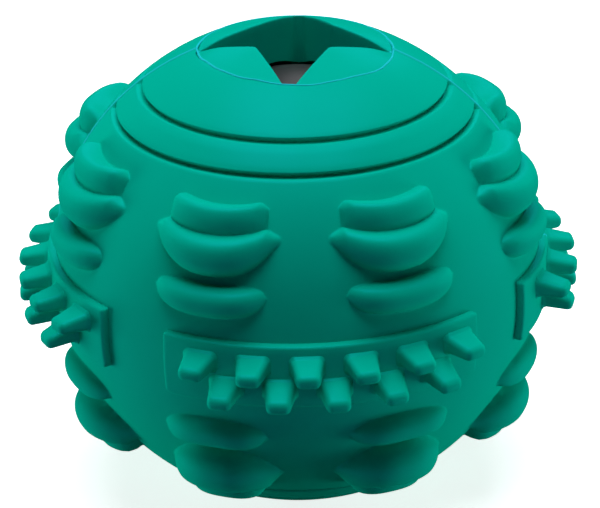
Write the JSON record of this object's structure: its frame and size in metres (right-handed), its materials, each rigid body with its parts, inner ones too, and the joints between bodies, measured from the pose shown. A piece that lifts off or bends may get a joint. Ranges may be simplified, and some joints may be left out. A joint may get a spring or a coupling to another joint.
{
  "type": "treat dispensing ball",
  "caption": "Rubber pet ball with chewing ridges, toothed plates and a star mouth at each end, round a hard treat capsule that turns freely inside.",
  "frame": {"origin": "centre of the ball, which is the centre of the capsule and of the jacket", "axes": "+Z through the top mouth; the seam between the two jacket halves lies in the XZ plane; the pictured side faces -Y"},
  "size_m": [0.0876, 0.0876, 0.0732],
  "materials": {
    "rubber": "satin moulded teal rubber",
    "capsule_plastic": "smooth dark grey hard plastic"
  },
  "bodies": {
    "jacket": {"front_shell": "rubber", "back_shell": "rubber", "top_mouth": "rubber", "bottom_mouth": "rubber"},
    "capsule": {"capsule_half_a": "capsule_plastic", "capsule_half_b": "capsule_plastic"}
  },
  "joints": [
    {"name": "capsule_spin", "type": "hinge", "parent": "jacket", "child": "capsule", "pos_m": [0, 0, 0], "axis": [1, 0, 0], "continuous": true}
  ]
}
